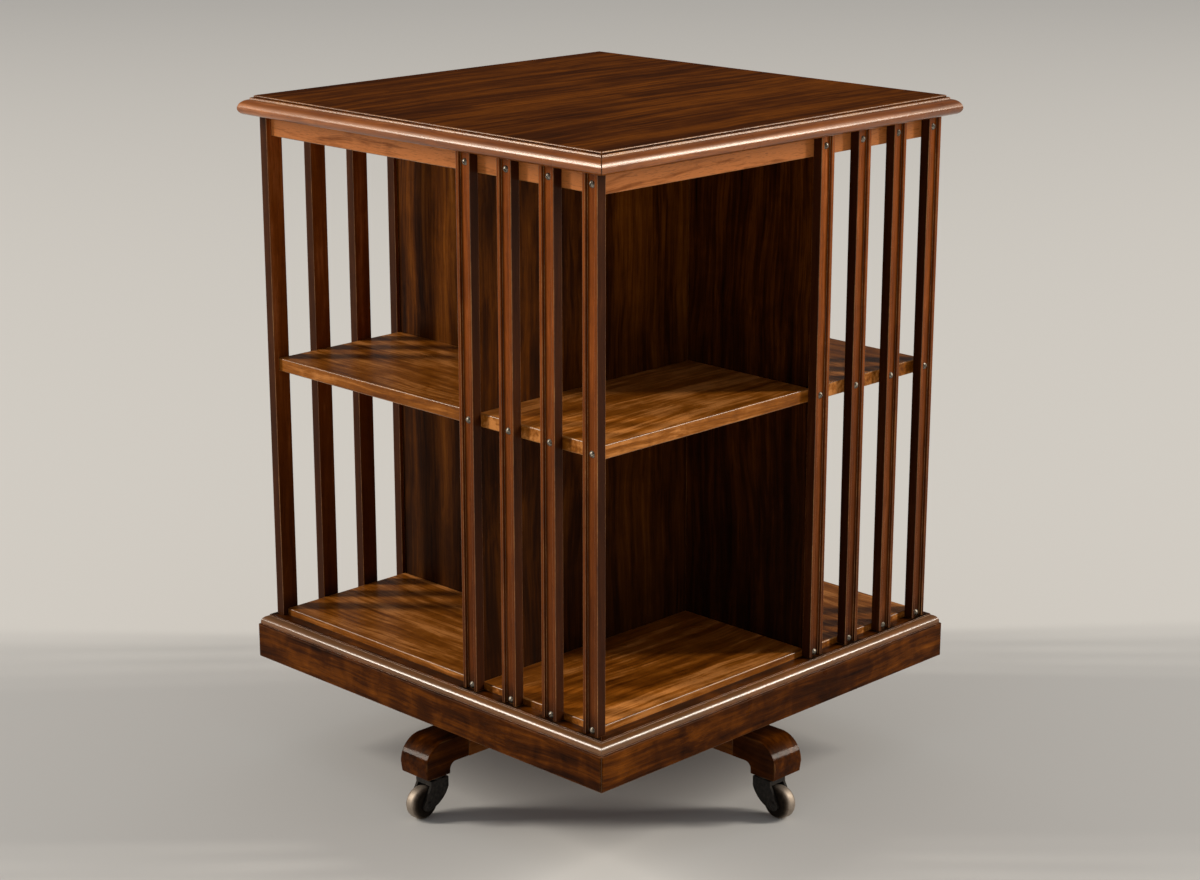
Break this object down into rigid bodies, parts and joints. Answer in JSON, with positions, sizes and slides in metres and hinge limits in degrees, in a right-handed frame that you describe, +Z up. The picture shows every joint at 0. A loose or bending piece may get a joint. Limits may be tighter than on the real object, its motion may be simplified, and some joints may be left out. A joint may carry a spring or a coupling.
{
  "type": "revolving bookcase",
  "caption": "Square revolving bookcase: moulded top, slatted sides and open book bays on two tiers, turning on a post in a cross-shaped stand with knee legs and castors.",
  "frame": {"origin": "on the floor under the post, which is the centre of the base", "axes": "+Z up; +X and -Y are the two faces seen in the picture, right and left; the castors roll under the middle of each face"},
  "size_m": [0.5888, 0.5888, 0.762],
  "materials": {
    "polished_top": "glossy french-polished mahogany with ribbon figure",
    "mahogany": "glossy french-polished mahogany",
    "mahogany_slats": "glossy polished mahogany, darkened in the channels",
    "mahogany_stand": "dark polished mahogany",
    "brass": "aged, dull brass",
    "dark_iron": "blackened iron"
  },
  "bodies": {
    "stand": {"spindle": "dark_iron", "stretcher_long_way": "mahogany_stand", "stretcher_cross_way": "mahogany_stand", "leg_right": "mahogany_stand", "leg_back": "mahogany_stand", "leg_left": "mahogany_stand", "leg_front": "mahogany_stand"},
    "turning_case": {"top_board": "polished_top", "base_board": "mahogany", "pivot_block": "mahogany", "floor_bush": "brass", "slat_screws": "brass", "top_moulding_right": "mahogany", "top_rail_right": "mahogany", "partition_right": "mahogany", "shelf_right": "mahogany", "floor_panel_right": "mahogany", "plinth_moulding_right": "mahogany", "slat_right_1": "mahogany_slats", "slat_right_2": "mahogany_slats", "slat_right_3": "mahogany_slats", "slat_right_4": "mahogany_slats", "top_moulding_back": "mahogany", "top_rail_back": "mahogany", "partition_back": "mahogany", "shelf_back": "mahogany", "floor_panel_back": "mahogany", "plinth_moulding_back": "mahogany", "slat_back_1": "mahogany_slats", "slat_back_2": "mahogany_slats", "slat_back_3": "mahogany_slats", "slat_back_4": "mahogany_slats", "top_moulding_left": "mahogany", "top_rail_left": "mahogany", "partition_left": "mahogany", "shelf_left": "mahogany", "floor_panel_left": "mahogany", "plinth_moulding_left": "mahogany", "slat_left_1": "mahogany_slats", "slat_left_2": "mahogany_slats", "slat_left_3": "mahogany_slats", "slat_left_4": "mahogany_slats", "top_moulding_front": "mahogany", "top_rail_front": "mahogany", "partition_front": "mahogany", "shelf_front": "mahogany", "floor_panel_front": "mahogany", "plinth_moulding_front": "mahogany", "slat_front_1": "mahogany_slats", "slat_front_2": "mahogany_slats", "slat_front_3": "mahogany_slats", "slat_front_4": "mahogany_slats"},
    "castor_right": {"castor_horn_right": "dark_iron"},
    "wheel_right": {"castor_wheel_right": "brass"},
    "castor_back": {"castor_horn_back": "dark_iron"},
    "wheel_back": {"castor_wheel_back": "brass"},
    "castor_left": {"castor_horn_left": "dark_iron"},
    "wheel_left": {"castor_wheel_left": "brass"},
    "castor_front": {"castor_horn_front": "dark_iron"},
    "wheel_front": {"castor_wheel_front": "brass"}
  },
  "joints": [
    {"name": "case_spin", "type": "hinge", "parent": "stand", "child": "turning_case", "pos_m": [0, 0, 0.143], "axis": [0, 0, 1], "continuous": true},
    {"name": "castor_swivel_right", "type": "hinge", "parent": "stand", "child": "castor_right", "pos_m": [0.26, 0, 0.051], "axis": [0, 0, 1], "continuous": true},
    {"name": "wheel_spin_right", "type": "hinge", "parent": "castor_right", "child": "wheel_right", "pos_m": [0.276, 0, 0.0184], "axis": [0, 1, 0], "continuous": true},
    {"name": "castor_swivel_back", "type": "hinge", "parent": "stand", "child": "castor_back", "pos_m": [0, 0.26, 0.051], "axis": [0, 0, 1], "continuous": true},
    {"name": "wheel_spin_back", "type": "hinge", "parent": "castor_back", "child": "wheel_back", "pos_m": [0, 0.276, 0.0184], "axis": [-1, 0, 0], "continuous": true},
    {"name": "castor_swivel_left", "type": "hinge", "parent": "stand", "child": "castor_left", "pos_m": [-0.26, 0, 0.051], "axis": [0, 0, 1], "continuous": true},
    {"name": "wheel_spin_left", "type": "hinge", "parent": "castor_left", "child": "wheel_left", "pos_m": [-0.276, 0, 0.0184], "axis": [0, -1, 0], "continuous": true},
    {"name": "castor_swivel_front", "type": "hinge", "parent": "stand", "child": "castor_front", "pos_m": [0, -0.26, 0.051], "axis": [0, 0, 1], "continuous": true},
    {"name": "wheel_spin_front", "type": "hinge", "parent": "castor_front", "child": "wheel_front", "pos_m": [0, -0.276, 0.0184], "axis": [1, 0, 0], "continuous": true}
  ]
}
